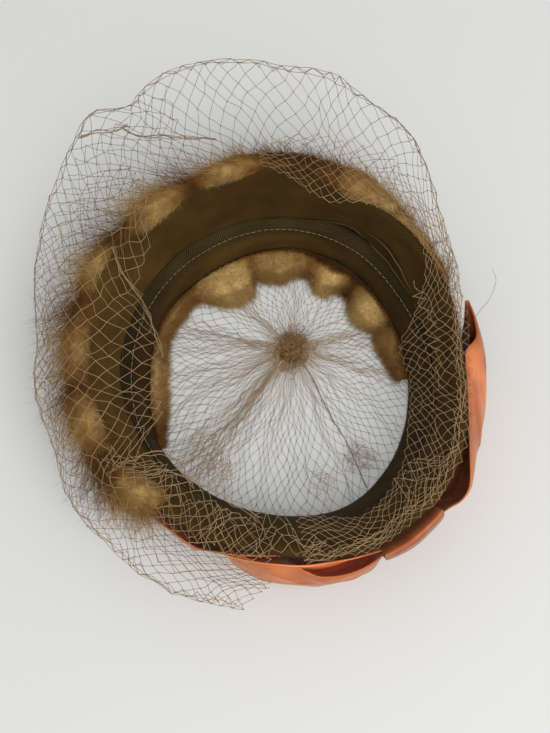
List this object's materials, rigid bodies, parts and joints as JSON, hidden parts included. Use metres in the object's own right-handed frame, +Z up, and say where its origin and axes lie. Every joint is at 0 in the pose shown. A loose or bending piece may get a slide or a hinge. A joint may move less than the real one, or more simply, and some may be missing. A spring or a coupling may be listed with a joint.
{
  "type": "fascinator hat",
  "caption": "Open-crown ring hat lying on its crown: velvet wall with a cloth facing and ribbed sweatband, deep fur, a satin sash and bow, and a net veil gathered across the crown.",
  "frame": {"origin": "centre of the footprint of the whole hat, on the surface that it lies on", "axes": "+Z up out of the head opening, away from the surface that the crown lies on; +X towards the right bow loop's side and +Y towards the fur's side"},
  "size_m": [0.2362, 0.2824, 0.0738],
  "materials": {
    "velvet": "black-brown velvet pile",
    "facing": "smooth olive-brown cloth, slightly lustrous",
    "grosgrain": "dark ribbed ribbon with a pale running stitch",
    "fur": "deep soft fur, pale tan over brown",
    "satin": "copper satin ribbon",
    "net": "open diamond veiling, tan"
  },
  "bodies": {
    "root": {"velvet_wall": "velvet", "facing": "facing", "sweatband": "grosgrain", "fur_tuft_1": "fur", "fur_tuft_2": "fur", "fur_tuft_3": "fur", "fur_tuft_4": "fur", "fur_tuft_5": "fur", "fur_tuft_6": "fur", "fur_tuft_7": "fur", "fur_tuft_8": "fur", "fur_tuft_9": "fur", "satin_sash": "satin", "bow_loop_left": "satin", "bow_loop_right": "satin", "bow_knot": "satin", "crown_net": "net", "net_knot": "net", "face_veil": "net"}
  },
  "joints": []
}
